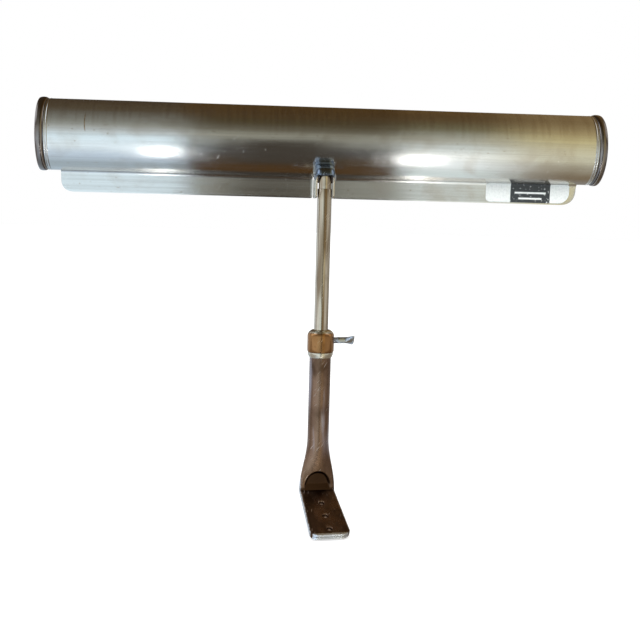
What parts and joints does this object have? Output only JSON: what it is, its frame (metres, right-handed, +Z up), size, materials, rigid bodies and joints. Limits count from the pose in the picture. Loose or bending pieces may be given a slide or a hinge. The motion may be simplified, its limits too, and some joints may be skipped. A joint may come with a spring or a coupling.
{
  "type": "picture light",
  "caption": "Tubular picture light: horizontal rolled-metal shade with a notched lip, on a telescopic arm with a clamp collar, thumbscrew and a flattened, bent screw-on foot.",
  "frame": {"origin": "on the face of the foot that is screwed to the back of a picture frame, on its centre line between the first and second screw holes from the fold", "axes": "+X along the shade, to the right as seen from the arm's side; +Z up along the arm from the foot's fold to the shade; -Y is the side of the shade that carries the arm"},
  "size_m": [0.4084, 0.0951, 0.3041],
  "materials": {
    "satin_nickel": "satin nickel plate, brushed along its length",
    "pale_nickel": "pale nickel plate, drawn along its length",
    "bronze": "antique bronze, worn satin",
    "steel": "satin, blue-grey",
    "brass": "satin",
    "nylon": "matte",
    "fibre": "matte, dark red",
    "phenolic": "moulded, semi-gloss",
    "glass": "clear",
    "tungsten": "dark drawn wire",
    "label": "satin film",
    "black_pvc": "matte",
    "white_pvc": "matte"
  },
  "bodies": {
    "mount_arm": {"outer_tube": "bronze", "collar": "bronze", "collar_ring": "pale_nickel"},
    "screw_tip": {"thumbscrew_pad": "brass"},
    "screw": {"thumbscrew": "steel"},
    "guide": {"guide_ferrule": "nylon"},
    "arm": {"arm_tube": "pale_nickel", "arm_knuckle": "pale_nickel", "tube_end_plug": "nylon"},
    "shade": {"pivot_pin": "steel", "friction_washer_left": "fibre", "friction_washer_right": "fibre", "swivel_hood": "steel", "shade_shell": "satin_nickel", "end_cap_left": "satin_nickel", "end_cap_right": "satin_nickel", "lip_label": "label", "socket_bracket": "steel", "hood_rivet_upper_left": "steel", "hood_rivet_upper_right": "steel", "hood_rivet_lower_left": "steel", "hood_rivet_lower_right": "steel", "wire_bushing": "black_pvc", "socket_cup_left": "phenolic", "socket_cup_right": "phenolic", "socket_shell_left": "brass", "socket_shell_right": "brass", "socket_screw_front": "steel", "socket_screw_back": "steel", "socket_nut_front": "brass", "socket_nut_back": "brass", "socket_contact_left": "brass", "socket_contact_right": "brass", "bulb_base_left": "brass", "bulb_base_right": "brass", "bulb_glass_left": "glass", "bulb_glass_right": "glass", "bulb_stem_left": "glass", "bulb_stem_right": "glass", "bulb_filament_left": "tungsten", "bulb_filament_right": "tungsten", "lead_wire_black": "black_pvc", "lead_wire_white": "white_pvc"}
  },
  "joints": [
    {"name": "thumbscrew_travel", "type": "slide", "parent": "mount_arm", "child": "screw_tip", "axis": [0.9848, 0.1736, 0], "range_m": [0, 0.0012]},
    {"name": "thumbscrew_turn", "type": "hinge", "parent": "screw_tip", "child": "screw", "pos_m": [-0.00378, 0.02143, 0.1194], "axis": [0.9848, 0.1736, 0], "range_deg": [0, 540]},
    {"name": "arm_extend", "type": "slide", "parent": "mount_arm", "child": "guide", "axis": [0, 0, 1], "range_m": [-0.03, 0.018]},
    {"name": "arm_swivel", "type": "hinge", "parent": "guide", "child": "arm", "pos_m": [-0.00378, 0.02143, 0.1095], "axis": [0, 0, 1], "range_deg": [-180, 180]},
    {"name": "shade_tilt", "type": "hinge", "parent": "arm", "child": "shade", "pos_m": [-0.00378, 0.02143, 0.237], "axis": [1, 0, 0], "range_deg": [-60, 40]}
  ],
  "couplings": [
    {"joint": "thumbscrew_turn", "follows": "thumbscrew_travel", "rad_per_m": 7854}
  ]
}
